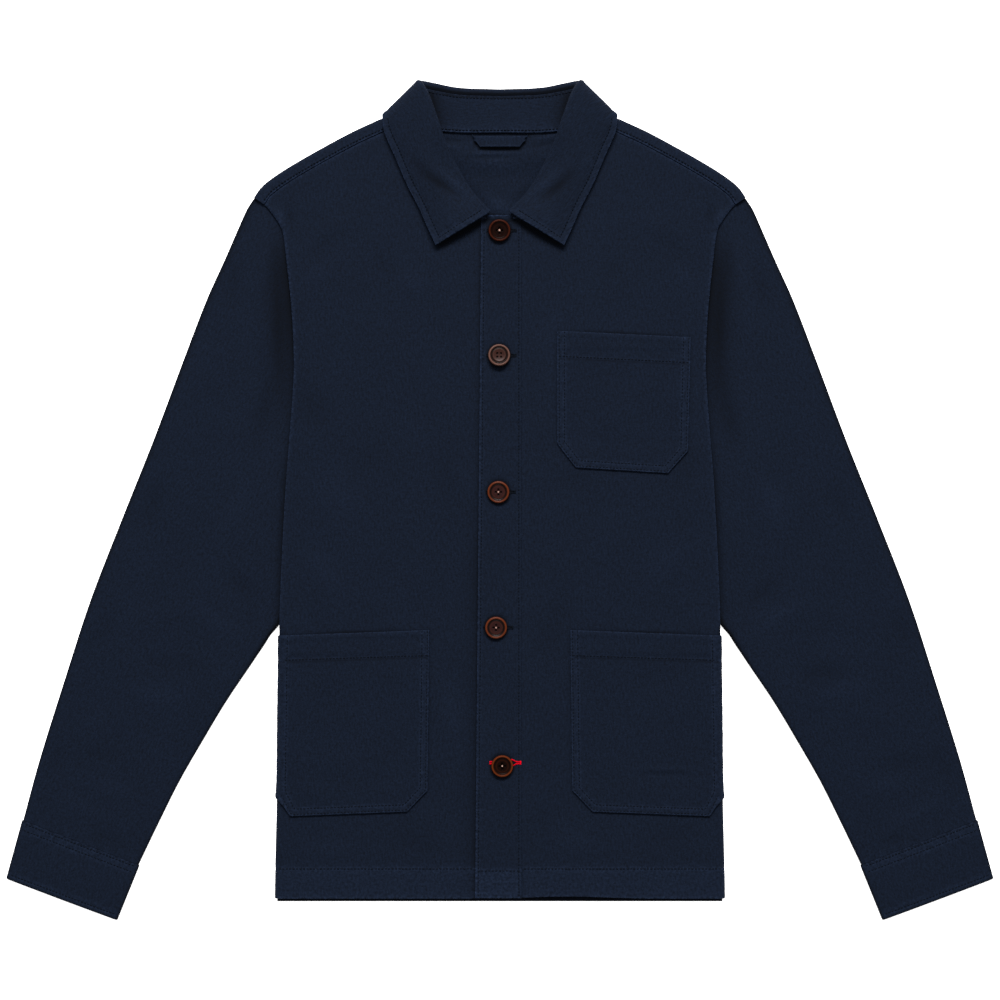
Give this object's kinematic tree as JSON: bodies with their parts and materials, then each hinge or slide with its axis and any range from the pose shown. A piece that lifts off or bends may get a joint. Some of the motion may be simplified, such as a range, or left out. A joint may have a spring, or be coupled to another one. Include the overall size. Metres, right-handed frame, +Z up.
{
  "type": "chore jacket",
  "caption": "Buttoned chore jacket of dark cotton twill, laid flat on its back, with a turned-down collar, cuffed sleeves and patch pockets.",
  "frame": {"origin": "on the floor under the middle of the jacket's outline", "axes": "+X across the jacket towards the wearer's left cuff, +Y from hem to collar, +Z up from the floor, out of the fronts"},
  "size_m": [0.9062, 0.7714, 0.0157],
  "materials": {
    "twill": "garment-washed cotton twill, matt with a soft nap",
    "button": "turned dark brown nut or resin, satin polish"
  },
  "bodies": {
    "root": {"back_panel": "twill", "front_right": "twill", "front_left": "twill", "front_band": "twill", "collar_stand": "twill", "collar_fall": "twill", "hanger_loop": "twill", "sleeve_right": "twill", "sleeve_left": "twill", "cuff_right": "twill", "cuff_left": "twill", "pocket_chest": "twill", "pocket_lower_right": "twill", "pocket_lower_left": "twill", "button_1": "button", "button_2": "button", "button_3": "button", "button_4": "button", "button_5": "button"}
  },
  "joints": []
}
